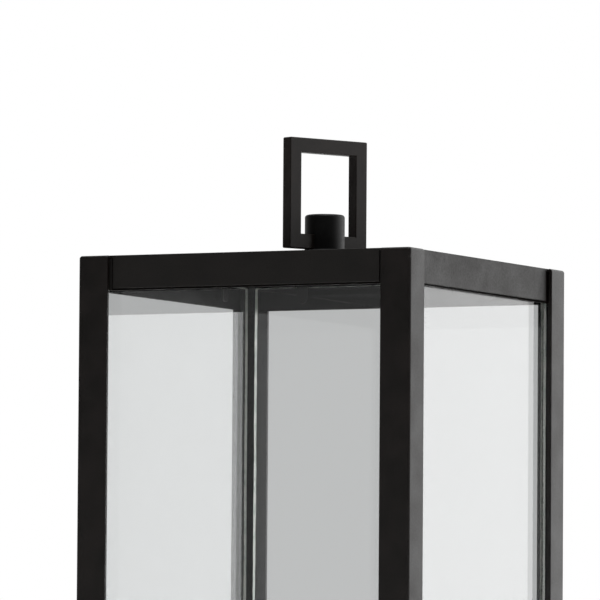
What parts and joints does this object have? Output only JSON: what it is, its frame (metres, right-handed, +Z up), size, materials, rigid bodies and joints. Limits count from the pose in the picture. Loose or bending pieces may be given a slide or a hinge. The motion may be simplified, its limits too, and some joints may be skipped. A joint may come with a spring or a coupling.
{
  "type": "outdoor wall lantern",
  "caption": "Square matt black metal box lantern with clear glass sides, a lift-off roof with an upright ring finial, and a wall bracket from below.",
  "frame": {"origin": "on the wall, middle of the mounting strap's back, at the height of the arm's axis", "axes": "+Z up, +X to the right seen from the front, -Y out from the wall towards the viewer, +Y into the wall"},
  "size_m": [0.18, 0.23, 0.5411],
  "materials": {
    "black_powder_coat": "fine matt powder coat",
    "clear_glass": "polished float glass, cut edges",
    "bulb_glass": "clear blown glass",
    "black_rubber": "matt moulded rubber",
    "zinc_plated_steel": "bright zinc plate",
    "brass": "turned brass",
    "tin_solder": "dull solder",
    "nickel_plate": "satin nickel plate",
    "black_phenolic": "moulded, slight sheen",
    "white_thermoplastic": "moulded, satin",
    "grey_sheath": "extruded, satin",
    "brown_insulation": "extruded, satin",
    "green_insulation": "extruded, satin",
    "blue_insulation": "extruded, satin",
    "amber_phosphor": "silicone over light-emitting chips"
  },
  "bodies": {
    "body": {"post_front_left": "black_powder_coat", "post_front_right": "black_powder_coat", "post_rear_right": "black_powder_coat", "post_rear_left": "black_powder_coat", "top_rail_front": "black_powder_coat", "top_rail_right": "black_powder_coat", "top_rail_rear": "black_powder_coat", "top_rail_left": "black_powder_coat", "base_tray": "black_powder_coat", "top_glass_tabs": "black_powder_coat", "base_glass_tabs": "black_powder_coat", "stud_bridge": "black_powder_coat", "stem": "black_powder_coat", "arm": "black_powder_coat", "arm_end_plug": "black_powder_coat", "wall_box": "black_powder_coat", "cover_screws": "black_powder_coat", "glass_front": "clear_glass", "glass_right": "clear_glass", "glass_rear": "clear_glass", "glass_left": "clear_glass", "glazing_channels": "black_rubber", "wall_seal": "black_rubber", "finial_stud": "zinc_plated_steel", "stud_nuts": "zinc_plated_steel", "threaded_tube": "zinc_plated_steel", "tube_nuts": "zinc_plated_steel", "tube_washer": "zinc_plated_steel", "mounting_strap": "zinc_plated_steel", "arm_flange": "zinc_plated_steel", "flange_studs": "zinc_plated_steel", "flange_nuts": "zinc_plated_steel", "earth_screw": "zinc_plated_steel", "earth_washer": "zinc_plated_steel", "terminal_screws": "zinc_plated_steel", "terminal_inserts": "brass", "lampholder_sleeve": "brass", "lampholder_contact": "brass", "lampholder_cap": "black_phenolic", "lampholder_shell": "black_phenolic", "lampholder_core": "white_thermoplastic", "terminal_block": "white_thermoplastic", "inner_lead": "grey_sheath", "core_live": "brown_insulation", "core_earth": "green_insulation", "core_neutral": "blue_insulation"},
    "roof": {"roof_tray": "black_powder_coat"},
    "washer": {"finial_washer": "black_rubber"},
    "finial": {"finial_knob": "black_powder_coat", "finial_ring": "black_powder_coat"},
    "bulb_tip": {"bulb_contact": "tin_solder", "bulb_insulator": "black_phenolic"},
    "bulb": {"bulb_cap": "nickel_plate", "bulb_glass": "bulb_glass", "bulb_stem": "bulb_glass", "bulb_wires": "nickel_plate", "bulb_filaments": "amber_phosphor"}
  },
  "joints": [
    {"name": "roof_lift", "type": "slide", "parent": "body", "child": "roof", "axis": [0, 0, 1], "range_m": [0, 0.12]},
    {"name": "finial_rise", "type": "slide", "parent": "roof", "child": "washer", "axis": [0, 0, 1], "range_m": [0, 0.0081]},
    {"name": "finial_turn", "type": "hinge", "parent": "washer", "child": "finial", "pos_m": [0, -0.14, 0.3941], "axis": [0, 0, 1], "range_deg": [0, 2880]},
    {"name": "bulb_rise", "type": "slide", "parent": "body", "child": "bulb_tip", "axis": [0, 0, 1], "range_m": [0, 0.0109]},
    {"name": "bulb_turn", "type": "hinge", "parent": "bulb_tip", "child": "bulb", "pos_m": [0, -0.14, 0.0616], "axis": [0, 0, 1], "range_deg": [0, 1080]}
  ],
  "couplings": [
    {"joint": "finial_rise", "follows": "finial_turn", "m_per_rad": 0.00015915},
    {"joint": "bulb_rise", "follows": "bulb_turn", "m_per_rad": 0.00057614}
  ]
}
